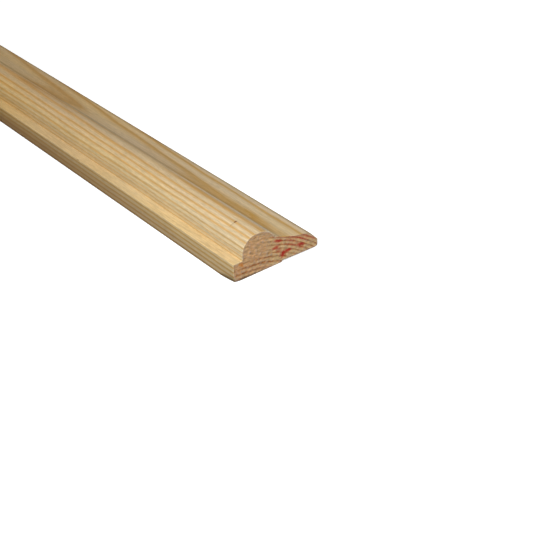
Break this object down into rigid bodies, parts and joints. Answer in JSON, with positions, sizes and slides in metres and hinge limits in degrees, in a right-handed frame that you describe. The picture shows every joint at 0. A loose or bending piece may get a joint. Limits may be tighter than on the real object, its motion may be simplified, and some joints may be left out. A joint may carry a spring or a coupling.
{
  "type": "pine moulding",
  "caption": "Straight length of pine dado moulding with a thick square edge, a big round, and a hollow tail that ends in a thin rounded tip.",
  "frame": {"origin": "under the middle of the back, at mid length and mid width, on the surface that the back lies on", "axes": "X along the grain, +Y from the thick edge towards the thin tip, +Z out of the back towards the crest of the round"},
  "size_m": [2.4, 0.0446, 0.0188],
  "materials": {
    "pine": "bare planed pine with sawn ends"
  },
  "bodies": {
    "root": {"moulding": "pine"}
  },
  "joints": []
}
